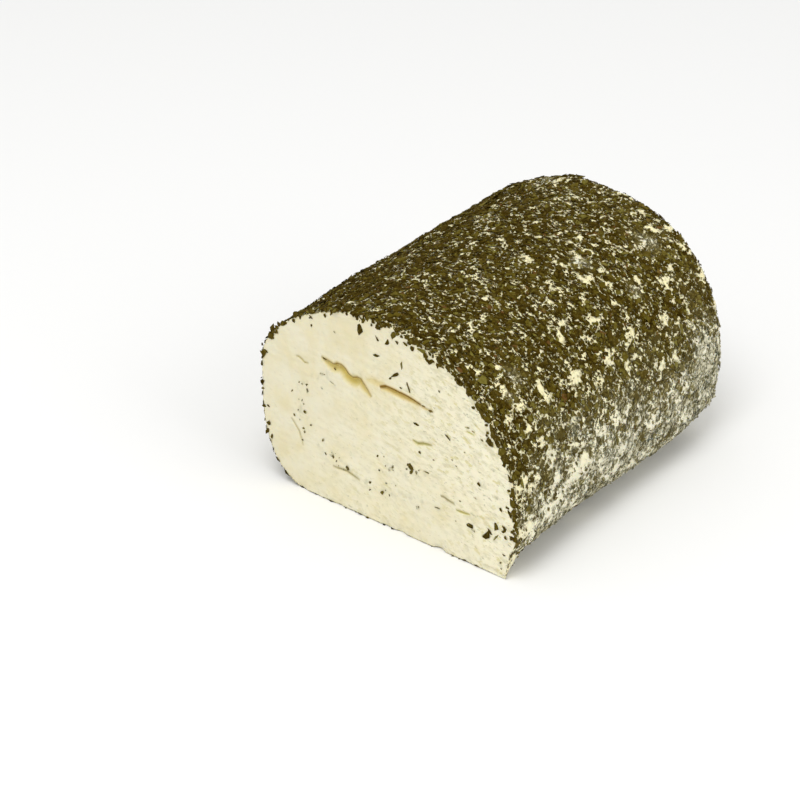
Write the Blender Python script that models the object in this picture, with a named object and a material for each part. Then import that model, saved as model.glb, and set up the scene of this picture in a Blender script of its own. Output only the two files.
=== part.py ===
"""A log of soft garlic and herb cheese, rolled up, coated with dried herb flakes and cut at one end.

The log lies on its flat base with the cut face towards -Y and the roll's axis along +Y. It is one solid: the
cheese, the crevices where the roll has parted at its seam, the lip that the knife dragged out, and the
largest flakes of the coat, which are fused on. Smaller flakes are the low bumps of the coated surface.
"""

import math
import random

import bmesh
import bpy
from mathutils import Matrix, Vector, noise

MM = 0.001

# The roll's section, seen from the cut end: four superellipse quarters that meet at the crown, at the base
# and at a waist on each side. The roll leans a little, so its two sides differ.
LOG_WIDTH = 0.100
LOG_HEIGHT = 0.0647
LEFT_REACH = 0.436 * LOG_WIDTH
RIGHT_REACH = LOG_WIDTH - LEFT_REACH
LEFT_WAIST = 0.39 * LOG_WIDTH
RIGHT_WAIST = 0.155 * LOG_WIDTH
LEFT_SHOULDER, RIGHT_SHOULDER = 1.76, 2.25
LEFT_FOOT, RIGHT_FOOT = 3.6, 2.7
BASE_SINK = 1.06
CORE_HEIGHT = 0.45 * LOG_HEIGHT

# Along the roll: the length on the table, the slant of the knife cut, and the far end, which leans back
# towards the top, is a little wider and has a soft rim.
LOG_LENGTH = 1.126 * LOG_WIDTH
CUT_SKEW = -0.166
FAR_LEAN = 0.24
FAR_SKEW = -0.11
FAR_GROWTH = 0.022
FAR_DOME = 1.5 * MM
FAR_RIM_RADIUS = 6 * MM

# The soft cheese sags in broad lumps, and the coat is rough at the scale of its flakes.
LUMP_SIZE = 26 * MM
LUMP_HEIGHT = 0.9 * MM
COAT_GRAIN = 4.3 * MM
COAT_ROUGHNESS = 0.9 * MM
BASE_MARGIN = 1.5 * MM

# Loops of the cage across, along and up the log.
CUTS_ACROSS, CUTS_ALONG, CUTS_UP = 15, 25, 11

# Crevices in the cut face along the seam: start and end (right of the middle, above the table), widest gape,
# depth, and how far the middle of the crevice bows up.
SEAM_CREVICES = (
    ((-20 * MM, 45.8 * MM), (0.5 * MM, 39.8 * MM), 4.4 * MM, 6.0 * MM, 0.5 * MM),
    ((2.5 * MM, 42.7 * MM), (26 * MM, 42.9 * MM), 2.9 * MM, 5.0 * MM, 1.3 * MM),
    ((17 * MM, 31.2 * MM), (25 * MM, 31.8 * MM), 1.5 * MM, 2.5 * MM, 0.4 * MM),
)

# The lip: at the lower right of the cut, the knife dragged the cheese down and out to a thin corner on the
# table. These are how far right its tip is, how far up the side and how far back it runs, and where along
# the base it starts.
LIP_TIP = 52.6 * MM
LIP_RISE = 8.5 * MM
LIP_BACK = 7.5 * MM
LIP_START = 27 * MM
LIP_PROUD = 0.3 * MM

# The largest herb flakes, fused to the coat: how many at most, and the gap between two of them.
FLAKE_COUNT = 325
FLAKE_SIZES = (2.4 * MM, 4.8 * MM)
FLAKE_GAP = 2.6 * MM
FLAKE_THICKNESS = 1.7 * MM
FLAKE_TILT = math.radians(10)
FLAKE_CLEARANCE = 3.0 * MM
PLACING_TRIES = 9000
SEED = 11

CHEESE_COLOUR = (0.80, 0.74, 0.50, 1.0)
NODE = "herb_cheese_log"
SHARP_ANGLE = math.radians(40)


def section_point(angle):
    """A point (x, z) of the section's outline, by its angle about the waist."""
    side = 1 if math.cos(angle) >= 0 else -1
    upper = math.sin(angle) >= 0
    reach = RIGHT_REACH if side > 0 else LEFT_REACH
    waist = RIGHT_WAIST if side > 0 else LEFT_WAIST
    if upper:
        squareness = RIGHT_SHOULDER if side > 0 else LEFT_SHOULDER
        rise = LOG_HEIGHT - waist
    else:
        squareness = RIGHT_FOOT if side > 0 else LEFT_FOOT
        rise = -waist * BASE_SINK
    x = side * reach * abs(math.cos(angle)) ** (2 / squareness)
    z = waist + rise * abs(math.sin(angle)) ** (2 / squareness)
    return Vector((x, max(z, 0.0)))


def section_x(height):
    """How far right the section reaches at a height below its right waist."""
    share = ((RIGHT_WAIST - height) / (RIGHT_WAIST * BASE_SINK)) ** (RIGHT_FOOT / 2)
    return RIGHT_REACH * (1 - share**2) ** (1 / RIGHT_FOOT)


def cut_plane(x):
    """How far along the roll the knife cut lies, which runs a little askew."""
    return CUT_SKEW * x


def far_plane(x, z):
    return LOG_LENGTH + FAR_LEAN * z + FAR_SKEW * x


def rounded(reach, along, full_reach):
    """Rounds the rim between the side and the far end. Both lengths are measured from the core and the cut."""
    inner_reach = min(reach, full_reach - FAR_RIM_RADIUS)
    inner_along = min(along, 1.0 - FAR_RIM_RADIUS / LOG_LENGTH)
    outward = Vector((reach - inner_reach, (along - inner_along) * LOG_LENGTH))
    if outward.x > 0 and outward.y > 0:
        outward *= FAR_RIM_RADIUS / max(outward.length, FAR_RIM_RADIUS)
    return inner_reach + outward.x, inner_along + outward.y / LOG_LENGTH


def roughness(point):
    """How far the coat stands out at a point: broad lumps, and bumps of a flake's size."""
    lumps = LUMP_HEIGHT * noise.noise(point / LUMP_SIZE)
    grain = COAT_ROUGHNESS * noise.noise(point / COAT_GRAIN + Vector((7.3, 1.9, 4.1)))
    return lumps + grain


def log_point(cage):
    """Where a point of the cage, a cube of side 2, lies on the log."""
    ring = max(abs(cage.x), abs(cage.z))
    along = (cage.y + 1) / 2
    core = Vector((0.0, CORE_HEIGHT))
    if ring < 1e-6:
        spot, spoke = core, Vector((0.0, 0.0))
    else:
        warped = [math.tan(math.pi / 4 * value / ring) for value in (cage.x, cage.z)]
        edge = section_point(math.atan2(warped[1], warped[0])) - core
        reach, along = rounded(ring * edge.length, along, edge.length)
        spoke = edge.normalized()
        spot = core + reach * (1 + FAR_GROWTH * along) * spoke
    spot.y = max(spot.y, 0.0)
    dome = FAR_DOME * (1 - ring**2) * along
    start, end = cut_plane(spot.x), far_plane(spot.x, spot.y) + dome
    place = Vector((spot.x, start + (end - start) * along, spot.y))
    on_coat = along > 0 and (ring > 1 - 1e-6 or along > 0.99)
    if on_coat and place.z > BASE_MARGIN:
        outward = Vector((spoke.x, 0.0, spoke.y)) if ring > 1 - 1e-6 else Vector((0.0, 1.0, 0.0))
        place += outward * roughness(place)
        place.z = max(place.z, 0.0)
    return place


def new_object(name, mesh_maker, collection):
    mesh = bpy.data.meshes.new(name)
    body = bmesh.new()
    mesh_maker(body)
    body.to_mesh(mesh)
    body.free()
    made = bpy.data.objects.new(name, mesh)
    collection.objects.link(made)
    return made


def roll_of_cheese(body):
    """A cube, looped along its three axes and wrapped into the log's form."""
    bmesh.ops.create_cube(body, size=2.0)
    for axis, cuts in ((0, CUTS_ACROSS), (1, CUTS_ALONG), (2, CUTS_UP)):
        along_axis = [
            edge
            for edge in body.edges
            if abs(edge.verts[0].co[axis] - edge.verts[1].co[axis]) > 1.9
        ]
        bmesh.ops.subdivide_edges(body, edges=along_axis, cuts=cuts, use_grid_fill=True)
    for vertex in body.verts:
        vertex.co = log_point(vertex.co)
    bmesh.ops.triangulate(body, faces=body.faces)


def crevice_maker(start, end, gape, depth, bow):
    """A flattened spindle that bows along the seam, half of it in front of the cut face."""

    def make(body):
        bmesh.ops.create_uvsphere(body, u_segments=8, v_segments=10, radius=1.0)
        first, last = Vector((start[0], 0.0, start[1])), Vector((end[0], 0.0, end[1]))
        middle, half = (first + last) / 2, (last - first) / 2
        for vertex in body.verts:
            share = vertex.co.z
            wander = 0.18 * gape * math.sin(9 * share)
            place = middle + half * share
            place.z += vertex.co.x * gape / 2 + bow * (1 - share**2) + wander
            place.y = cut_plane(place.x) - vertex.co.y * depth
            vertex.co = place

    return make


def dragged_lip(body):
    """A thin wedge in the plane of the cut that squares out the roll's rounded lower corner."""
    side = section_x(LIP_RISE)
    corners = (
        (LIP_START, -LIP_PROUD / 3, 0.0),
        (LIP_TIP, -LIP_PROUD, 0.0),
        (LIP_TIP, -LIP_PROUD / 2, 0.6 * MM),
        (side, -LIP_PROUD / 3, LIP_RISE),
        (LIP_START + 2 * MM, LIP_BACK / 2, 0.0),
        (LIP_TIP - 0.85 * LIP_BACK, LIP_BACK, 0.0),
        (side - 2 * MM, 0.8 * LIP_BACK, LIP_RISE - 1 * MM),
        (0.75 * LIP_TIP, LIP_BACK / 2, LIP_RISE + 3 * MM),
    )
    for x, behind_cut, z in corners:
        body.verts.new((x, cut_plane(x) + behind_cut, z))
    bmesh.ops.convex_hull(body, input=body.verts)


def flake_maker(spot, normal, size, draw):
    """A thin chip of leaf with three or four uneven corners, bedded in the coat."""

    def make(body):
        bmesh.ops.create_cone(
            body,
            cap_ends=True,
            segments=draw.choice((3, 4)),
            radius1=size / 2,
            radius2=size / 2 * 0.86,
            depth=FLAKE_THICKNESS,
        )
        narrow = draw.uniform(0.6, 0.95)
        for vertex in body.verts:
            vertex.co.x *= 1 + draw.uniform(-0.12, 0.12)
            vertex.co.y *= narrow
        lean = Matrix.Rotation(draw.uniform(-FLAKE_TILT, FLAKE_TILT), 4, "X")
        spin = Matrix.Rotation(draw.uniform(0, 2 * math.pi), 4, "Z")
        face_out = normal.to_track_quat("Z", "Y").to_matrix().to_4x4()
        bmesh.ops.transform(
            body, matrix=Matrix.Translation(spot) @ face_out @ spin @ lean, verts=body.verts
        )

    return make


def coat_spots(log, draw):
    """Places and sizes of flakes, the largest first, evenly over the coat and clear of the base and the cut."""
    faces = log.data.polygons
    areas = [face.area for face in faces]
    placed = []
    for attempt, face in enumerate(draw.choices(faces, weights=areas, k=PLACING_TRIES)):
        if len(placed) == FLAKE_COUNT:
            break
        corners = [log.data.vertices[index].co for index in face.vertices]
        first, second = sorted((draw.random(), draw.random()))
        spot = corners[0] * first + corners[1] * (second - first) + corners[2] * (1 - second)
        near_cut = spot.y - cut_plane(spot.x) < FLAKE_CLEARANCE
        if near_cut or spot.z < FLAKE_CLEARANCE or face.normal.z < -0.35:
            continue
        shrink = attempt / PLACING_TRIES
        size = FLAKE_SIZES[1] + (FLAKE_SIZES[0] - FLAKE_SIZES[1]) * shrink
        if all((spot - other).length > (size + taken) / 2 + FLAKE_GAP for other, _, taken in placed):
            placed.append((spot, face.normal.copy(), size))
    return placed


def apply_boolean(log, operation, collection, solver):
    """Cuts or joins a whole collection in one step, then removes its objects."""
    join = log.modifiers.new(operation.lower(), "BOOLEAN")
    join.operation = operation
    join.operand_type = "COLLECTION"
    join.collection = collection
    join.solver = solver
    bpy.context.view_layer.update()
    graph = bpy.context.evaluated_depsgraph_get()
    joined = bpy.data.meshes.new_from_object(log.evaluated_get(graph))
    log.modifiers.remove(join)
    log.data = joined
    for helper in list(collection.objects):
        bpy.data.objects.remove(helper)
    bpy.data.collections.remove(collection)


def stand_on_origin(log):
    """Moves the mesh so that the middle of its box's underside is the origin."""
    corners = [Vector(corner) for corner in log.bound_box]
    middle = sum(corners, Vector()) / len(corners)
    log.data.transform(Matrix.Translation((-middle.x, -middle.y, 0.0)))


def cheese_material():
    material = bpy.data.materials.new("herb_cheese")
    material.use_nodes = True
    shader = material.node_tree.nodes["Principled BSDF"]
    shader.inputs["Base Color"].default_value = CHEESE_COLOUR
    shader.inputs["Roughness"].default_value = 0.55
    shader.inputs["Metallic"].default_value = 0.0
    return material


def new_collection(name):
    collection = bpy.data.collections.new(name)
    bpy.context.scene.collection.children.link(collection)
    return collection


def main():
    for leftover in list(bpy.data.objects):
        bpy.data.objects.remove(leftover)
    draw = random.Random(SEED)
    parts = new_collection("garlic_herb_cheese_log")
    log = new_object(NODE, roll_of_cheese, parts)

    crevices = new_collection("seam_crevices")
    for number, crevice in enumerate(SEAM_CREVICES):
        new_object(f"crevice_{number}", crevice_maker(*crevice), crevices)
    additions = new_collection("lip_and_flakes")
    new_object("lip", dragged_lip, additions)
    for number, (spot, normal, size) in enumerate(coat_spots(log, draw)):
        new_object(f"flake_{number}", flake_maker(spot, normal, size, draw), additions)

    apply_boolean(log, "DIFFERENCE", crevices, "EXACT")
    apply_boolean(log, "UNION", additions, "MANIFOLD")
    stand_on_origin(log)
    log.data.shade_smooth()
    log.data.set_sharp_from_angle(angle=SHARP_ANGLE)
    log.data.materials.clear()
    log.data.materials.append(cheese_material())


main()
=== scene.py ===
"""The looks of a cut log of soft garlic and herb cheese.

The cream cheese is one body with its cut face, crevices and pressed lower corner. Dried leaf flakes and
crumbs make its coat, and a few herbs lie in the cut face along the roll's seam. All sizes are in metres.
"""

import math

import bmesh
import bpy
import numpy as np
from bpy.props import FloatProperty, FloatVectorProperty, IntProperty, PointerProperty
from bpy.types import Operator, Panel, PropertyGroup
from mathutils import Matrix, Vector, noise
from mathutils.bvhtree import BVHTree
from mathutils.kdtree import KDTree


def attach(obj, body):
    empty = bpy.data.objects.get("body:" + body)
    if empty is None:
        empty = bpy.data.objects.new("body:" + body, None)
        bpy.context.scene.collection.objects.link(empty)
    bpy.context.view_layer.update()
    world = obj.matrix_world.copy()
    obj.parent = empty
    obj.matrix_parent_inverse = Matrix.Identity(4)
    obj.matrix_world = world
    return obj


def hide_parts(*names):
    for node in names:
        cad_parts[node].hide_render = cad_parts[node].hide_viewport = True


bl_info = {
    "name": "Herb Cheese Log",
    "version": (1, 0, 0),
    "blender": (4, 5, 0),
    "location": "View3D > Sidebar > Cheese Log",
    "description": "Builds a cut log of soft cheese with a coat of dried herbs",
    "category": "Add Mesh",
}

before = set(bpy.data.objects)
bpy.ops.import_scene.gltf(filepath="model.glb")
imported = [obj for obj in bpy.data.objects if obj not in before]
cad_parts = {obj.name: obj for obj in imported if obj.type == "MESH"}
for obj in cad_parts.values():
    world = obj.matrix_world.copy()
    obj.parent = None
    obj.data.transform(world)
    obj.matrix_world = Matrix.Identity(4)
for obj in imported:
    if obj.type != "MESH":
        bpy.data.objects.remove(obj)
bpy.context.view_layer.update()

MM = 0.001
BODY = "root"
NODE = "herb_cheese_log"

# The log is worked out from the lower middle of its cut face, and then moved to the middle of its box.
FACE_TO_ORIGIN = Vector((-6.6206 * MM, -60.5154 * MM, 0.0))

# The roll's section: four superellipse quarters, as in the solid.
LEFT_SHARE = 0.436
LEFT_WAIST, RIGHT_WAIST = 0.39, 0.155
LEFT_SHOULDER, RIGHT_SHOULDER = 1.76, 2.25
LEFT_FOOT, RIGHT_FOOT = 3.6, 2.7
BASE_SINK = 1.06
CORE_SHARE = 0.45
CUT_SKEW = -0.166
FAR_LEAN, FAR_SKEW = 0.24, -0.11
FAR_GROWTH = 0.022
FAR_DOME = 1.5 * MM
FAR_RIM_RADIUS = 6 * MM
LUMP_SIZE, LUMP_HEIGHT = 26 * MM, 0.9 * MM
LIP_TIP, LIP_RISE, LIP_BACK, LIP_START = 52.6 * MM, 8.5 * MM, 7.5 * MM, 27 * MM

# Dents and bumps of the roll: right of the cut's middle, behind it, above the table, how wide and how high,
# in millimetres.
DENTS = (
    (-26, 6, 52, 24, -1.0),
    (56, 24, 6, 17, -1.4),
    (-7, 124, 66, 5, 1.1),
    (57, 108, 3, 8, 1.2),
    (53, 107, 1, 12, -2.6),
)

# Loops of the cage across, along and up the log, before the cut face is made finer.
CUTS_ACROSS, CUTS_ALONG, CUTS_UP = 109, 75, 71

# Crevices and small tears of the cut face: points along the upper edge (right of the middle, above the
# table), then the width below it and the depth, all in millimetres, how dark the edge and how golden the
# inside is, and its tone, from olive at 0 to orange at 1.
TEARS = (
    (
        ((-18.8, 46.3), (-17.0, 46.0), (-15.5, 45.7), (-13.7, 45.4), (-12.3, 46.2), (-10.7, 46.2),
         (-9.1, 45.5), (-7.8, 44.2), (-6.2, 43.6), (-4.4, 44.3), (-2.8, 44.1), (-1.7, 42.8), (-0.2, 41.4),
         (1.2, 39.8)),
        4.0, 1.4, 1.0, 1.0, 0.70,
    ),
    (
        ((4.4, 44.2), (5.4, 44.6), (6.7, 45.1), (8.7, 45.0), (11.3, 44.8), (13.9, 44.6), (16.5, 44.4),
         (18.4, 44.1), (20.4, 43.9)),
        2.2, 0.9, 2.0, 0.9, 1.0,
    ),
    (((-1.0, 45.2), (1.6, 46.0), (4.2, 45.9), (6.5, 46.3)), 2.6, 0.2, 0.0, 0.5, 0.6),
    (((19.2, 43.9), (21.6, 43.6), (24.2, 43.4)), 1.0, 0.2, 0.3, 0.6, 0.5),
    (((17.0, 31.7), (19.0, 31.4), (21.2, 32.1), (24.6, 32.5)), 1.1, 0.7, 0.5, 1.0, 0.1),
    (((-29.2, 43.2), (-27.9, 43.4), (-26.7, 42.9), (-25.6, 42.3), (-24.0, 42.4)), 0.7, 0.4, 0.4, 0.5, 0.2),
    (((28.0, 17.7), (29.2, 17.9), (30.5, 17.5), (33.4, 17.0)), 0.7, 0.4, 0.8, 0.4, 0.2),
    (((33.6, 15.3), (36.0, 15.6), (39.2, 15.8)), 0.9, 0.5, 0.25, 1.0, 0.0),
    (((37.2, 41.4), (38.6, 41.5), (40.4, 41.0)), 0.7, 0.3, 0.1, 1.0, 0.0),
    (((-31.4, 22.4), (-28.2, 19.0), (-26.6, 14.6)), 0.7, 0.5, 0.4, 0.4, 0.2),
    (((-14.6, 12.2), (-9.0, 12.6), (-3.6, 11.4)), 0.8, 0.6, 0.6, 0.5, 0.1),
)

# How far a tear's dark edge, which is partly its own dried colour and partly painted shadow under its upper
# lip, its gold and its tone reach, and, in millimetres, how far beside, below and above a tear the mesh is
# finer.
EDGE_REACH, GOLD_REACH, WARM_REACH = 0.45 * MM, 1.4 * MM, 5 * MM
FINE_BESIDE, FINE_BELOW, FINE_ABOVE = 1.5, 0.8, 1.6

# The cut's lower edge is a little crumbled. Round one spot low on the cut face the curds' pale lumps and
# marks fade out: a painted pool of shade.
CRUMBLED, CRUMB_SIZE = 1.6 * MM, 5 * MM
SHADE_POOL_SPOT, SHADE_POOL_REACH, SHADE_POOL_DEPTH = (22 * MM, 8 * MM), 20 * MM, 0.7

# How thick the herbs are that the base lies on.
BASE_LIFT = 0.2 * MM

# What each point of the body keeps for its finish: whether it is coat, how bare its cream is and how much
# cream veils its herbs, then a tear's dark edge (partly painted shadow), its gold and tone, the seam, and
# how curdled the face is, which fades in a painted pool of shade.
LOOKS = ("herbs", "bare", "veil", "edge", "gold", "warm", "seam", "curdled")

# Herbs that lie in the cut face: right of the middle, above the table, length and width, in millimetres,
# their turn in degrees, how much cream veils them, and their place on the tint's scale.
FACE_HERBS = (
    (-3.4, 60.4, 4.6, 3.0, 89, 0.05, 0.15),
    (3.3, 59.1, 1.9, 0.9, 136, 0.1, 0.2),
    (7.4, 59.2, 2.9, 1.4, 66, 0.1, 0.2),
    (11.3, 60.3, 1.7, 1.2, 144, 0.1, 0.15),
    (3.4, 53.7, 2.4, 1.1, 8, 0.1, 0.3),
    (12.9, 53.9, 2.9, 0.8, 90, 0.3, 0.6),
    (10.6, 50.1, 3.5, 1.0, 32, 0.1, 0.2),
    (8.7, 48.4, 1.5, 0.8, 36, 0.2, 0.25),
    (15.6, 47.5, 3.9, 0.8, 119, 0.25, 0.35),
    (12.5, 46.6, 1.0, 0.6, 174, 0.3, 0.3),
    (27.2, 50.4, 1.0, 0.6, 158, 0.5, 0.3),
    (-13.1, 55.8, 1.1, 0.4, 158, 0.6, 0.3),
    (18.7, 37.2, 2.3, 0.8, 173, 0.15, 0.2),
    (30.5, 37.2, 3.2, 0.8, 147, 0.15, 0.2),
    (19.9, 28.6, 1.2, 1.0, 151, 0.2, 0.3),
    (-18.6, 40.7, 2.7, 0.6, 5, 0.75, 0.3),
    (-14.2, 39.2, 3.1, 0.4, 160, 0.8, 0.3),
    (-17.6, 46.1, 1.9, 0.7, 169, 0.1, 0.35),
    (-13.6, 43.6, 1.8, 0.7, 136, 0.3, 0.3),
    (24.1, 43.3, 2.5, 1.0, 176, 0.35, 0.9),
    (21.4, 43.9, 1.7, 0.6, 170, 0.35, 0.9),
    (-22.7, 57.6, 1.7, 0.7, 154, 0.1, 0.2),
    (17.0, 60.2, 1.9, 1.9, 143, 0.05, 0.3),
    (23.7, 58.2, 2.3, 1.7, 3, 0.05, 0.2),
    (20.6, 60.9, 3.8, 1.4, 9, 0.1, 0.7),
    (22.9, 23.4, 2.7, 0.5, 179, 0.4, 0.5),
    (42.2, 26.7, 1.5, 1.0, 155, 0.1, 0.2),
    (26.8, 13.4, 2.4, 0.5, 10, 0.6, 0.4),
    (39.1, 12.2, 3.0, 1.7, 170, 0.1, 0.15),
    (40.5, 11.2, 1.9, 0.8, 164, 0.75, 0.3),
    (45.5, 11.5, 5.0, 1.9, 46, 0.05, 0.15),
    (46.6, 13.0, 2.4, 1.2, 130, 0.05, 0.15),
    (48.6, 11.9, 3.4, 0.8, 55, 0.45, 0.8),
    (50.5, 21.7, 1.7, 1.1, 133, 0.1, 0.2),
    (53.9, 21.4, 2.8, 1.7, 118, 0.1, 0.2),
    (43.2, 40.7, 1.4, 0.7, 167, 0.4, 0.7),
    (37.8, 42.7, 2.2, 0.7, 4, 0.5, 0.75),
    (39.9, 42.1, 1.4, 0.5, 177, 0.5, 0.9),
    (36.8, 34.7, 1.3, 0.5, 168, 0.6, 0.4),
    (33.7, 29.2, 0.8, 0.4, 167, 0.5, 0.3),
    (32.2, 30.6, 0.9, 0.4, 172, 0.6, 0.3),
    (25.3, 28.2, 0.9, 0.4, 172, 0.5, 0.3),
    (40.8, 21.7, 1.1, 0.6, 178, 0.6, 0.3),
    (35.4, 18.8, 1.0, 0.5, 176, 0.5, 0.3),
    (33.7, 11.7, 1.0, 0.4, 2, 0.5, 0.3),
    (51.9, 7.6, 1.3, 0.6, 174, 0.2, 0.2),
    (50.7, 4.7, 1.2, 0.6, 18, 0.2, 0.2),
    (51.0, 3.0, 0.9, 0.5, 153, 0.2, 0.2),
    (37.1, 0.4, 2.6, 0.6, 10, 0.15, 0.2),
    (41.8, 0.4, 2.3, 0.5, 5, 0.15, 0.2),
)

# Places where the coat's cream is bare: right of the cut's middle, behind it, above the table, and how wide,
# in millimetres.
CREAM_PATCHES = (
    (23, 116, 63, 1.6),
    (29, 111, 61, 1.9),
    (32, 117, 59, 1.6),
    (31, 102, 59, 1.8),
    (38, 114, 55, 1.8),
    (40, 116, 53, 1.3),
    (32, 69, 59, 2.8),
    (24, 75, 61, 2.0),
    (22, 67, 63, 1.8),
    (40, 70, 53, 1.6),
    (21, 78, 62, 1.3),
    (28, 80, 60, 1.2),
    (35, 74, 57, 1.3),
    (47, 93, 47, 1.2),
    (49, 84, 44, 1.8),
    (-5, 122, 65, 1.6),
    (49, 52, 43, 2.0),
    (42, 40, 53, 1.6),
    (53, 77, 35, 1.5),
    (55, 83, 35, 1.4),
    (48, 35, 45, 1.6),
    (53, 28, 37, 1.4),
    (55, 22, 30, 1.5),
    (56, 27, 24, 3.0),
    (56, 22, 23, 2.6),
    (58, 48, 19, 1.6),
    (57, 44, 14, 1.8),
    (57, 65, 19, 1.4),
    (56, 50, 27, 1.4),
    (57, 89, 13, 1.4),
    (37, 9, 56, 2.2),
    (40, 15, 54, 1.3),
    (36, 2, 56, 1.7),
    (43, 5, 51, 1.8),
    (46, 5, 47, 1.6),
    (50, 6, 42, 1.6),
    (55, 3, 28, 1.6),
    (57, 7, 17, 1.8),
    (56, 13, 24, 1.5),
    (53, -7, 3, 4.5),
)

# Places where a thin film of cream greys the herbs: the same four numbers.
FROSTED_PATCHES = (
    (32, 104, 59, 5.0),
    (40, 81, 53, 3.5),
    (41, 11, 53, 4.5),
    (44, 5, 49, 3.5),
    (56, 100, 28, 7.0),
    (26, 74, 61, 4.0),
    (-14, 120, 63, 3.0),
)

# The seam that winds through the roll, drawn on the cut face by a few herbs: middle, half width, half
# height, start, turn and how much of it is left at its inner end. The right side has its own few herbs.
SEAM_MIDDLE = (6 * MM, 28.5 * MM)
SEAM_HALVES = (34 * MM, 17 * MM)
SEAM_START, SEAM_TURN = math.radians(-50), math.radians(-400)
SEAM_STRAIGHT, SEAM_INNER = 0.55, 0.5
SEAM_WIDTH = 1.5 * MM
SEAM_WANDER = 2.0 * MM
SEAM_EDGE = 20 * MM
SEAM_TOP = 37 * MM

# Herbs in the cut face are laid on it from in front: where the search starts, how far the face is from a
# plane at most, how far the herbs stand off it, their thickness, how much they bend, as a share of the
# coat's, and how much larger they are cut than they are listed, because their corners lie further in.
RAY_START = 30 * MM
FACE_RELIEF_MOST = 2 * MM
HERB_LIFT, HERB_THICKNESS = 0.12 * MM, 0.12 * MM
HERB_BEND = 0.35
HERB_GROWTH = 1.2
HERB_CORNERS = 6

# Herbs along the seam and flakes at the rim of the cut: their usual size and the largest, in usual ones. The
# rim's flakes lie in clumps, this far in from the rim, and none of them lies near the table.
SEAM_HERB_SIZE, SEAM_HERB_MOST = 1.1 * MM, 2.6
RIM_FLAKE_SIZE, RIM_FLAKE_MOST = 1.9 * MM, 2.0
CLUMP_SIZE, CLUMP_SPREAD, CLUMP_LEAST = 4 * MM, 1.5, 0.25
RIM_LOWEST = 13 * MM

# How bare the cream is: the size and weight of the coat's patches and specks, the weight of its streaks and
# of the listed patches, what the far end, its rim and the near flank add, and how well herbs cover the rest.
PATCH_SIZE, PATCH_WEIGHT = 7 * MM, 0.50
SPECK_SIZE, SPECK_WEIGHT = 2.2 * MM, 0.25
STREAK_WEIGHT, SPOT_WEIGHT = 0.75, 0.85
FAR_END_WEIGHT = 0.15
FAR_RIM_WEIGHT, FAR_RIM_WIDTH = 0.38, 3.5 * MM
FLANK_WEIGHT, FLANK_LOSS = 0.41, 0.33
COVER = 0.46
BARE_AT = 0.20

# How much a film of cream greys the herbs: on the flanks, at the far end, in the listed patches and in
# clouds of this size. The crown and the rim of the cut are clear of it.
FLANK_VEIL, FAR_END_VEIL, FROSTED_VEIL = 1.05, 0.20, 0.8
CLOUD_SIZE, CLOUD_VEIL = 6 * MM, 0.32
CROWN_CLEAR, CUT_CLEAR = 0.10, 0.35

# Where the noises of the coat and of the cut face start, so that they don't run alike.
PATCH_START, STREAK_START = Vector((3.1, 8.7, 5.2)), Vector((1.7, 2.9, 7.7))
SPECK_START, CLOUD_START = Vector((4.2, 9.1, 0.6)), Vector((6.3, 1.1, 4.4))

# Fewer flakes lie where the cream shows: they thin out by one share on the way to bare cream, and by the
# other on it. Few lie at the cut's lower edge, and some are missing low on the flanks.
THIN_REACH, THINNED = 0.35, 0.25
BARE_REACH, MISSING = 0.15, 0.68
CUT_FOOT_HEIGHT, CUT_FOOT_DEPTH, CUT_FOOT_SHARE = 2 * MM, 2.5 * MM, 0.25
FLANK_GAPS = 0.30

# How uneven a flake is: how far its corners are off even turns, how far out they lie, and how much it
# folds, curls and twists. In its cell of the bake it leaves this much to each side of its middle.
CORNER_WANDER, CORNER_REACH = 0.45, (0.5, 1.05)
FOLD, CURL, TWIST = 0.16, 0.13, 0.12
CELL_REACH = 0.42

# How the dried leaves are dealt out, from dark brown to red: place on the tint's scale, and share.
LEAF_TINTS = ((0.08, 0.40), (0.28, 0.32), (0.50, 0.205), (0.74, 0.06), (0.95, 0.015))

# The coat's layers, from the cheese outwards: name, share of the flakes, length in usual flakes, corners,
# lift off the cheese in millimetres, tilt, and how well they keep off bare cream.
COAT_LAYERS = (
    ("leaf_flakes_bedded", 1.0, 1.15, 5, 0.02, 0.08, 1.0),
    ("leaf_flakes_on_top", 1.0, 1.0, 5, 0.14, 0.14, 1.0),
    ("leaf_bits", 1.25, 0.62, 4, 0.18, 0.22, 0.9),
    ("herb_crumbs", 1.7, 0.36, 4, 0.14, 0.30, 0.7),
)

# The curds of the cut face lie in short strokes that fall to the right.
GRAIN_TURN = math.radians(13)
GRAIN_SIZE = (2.4 * MM, 40 * MM, 1.1 * MM)

# Cream that is rubbed into the coat lies in short streaks: their lean, their size where they are painted on
# the flakes, and around, across and along them, in millimetres, where they are bare cream.
STREAK_LEAN = math.radians(-60)
STREAK_SIZE = (0.8 * MM, 0.8 * MM, 2.4 * MM)
BARE_STREAK = (4, 1.7, 4.5)

# The camera's place round the log and the frame's target on the floor.
VIEW_AZIMUTH, VIEW_ELEVATION = math.radians(33.91), math.radians(25.84)
VIEW_DISTANCE = 0.9188
VIEW_TARGET = Vector((-36.9 * MM, 71.11 * MM, 0.0)) + FACE_TO_ORIGIN
VIEW_LENS = 130.0

# The studio: half the floor's side and how far it lies under the herbs, then the lights' places and sizes,
# and the point that they face.
FLOOR_HALF, FLOOR_DROP = 12.0, 0.05 * MM
KEY_PLACE, KEY_SIZE = (0.15, -0.65, 1.3), 0.9
FILL_PLACE, FILL_SIZE = (1.2, -0.25, 0.7), 0.8
LIT_POINT = Vector((0, 0, 30 * MM))


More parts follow.
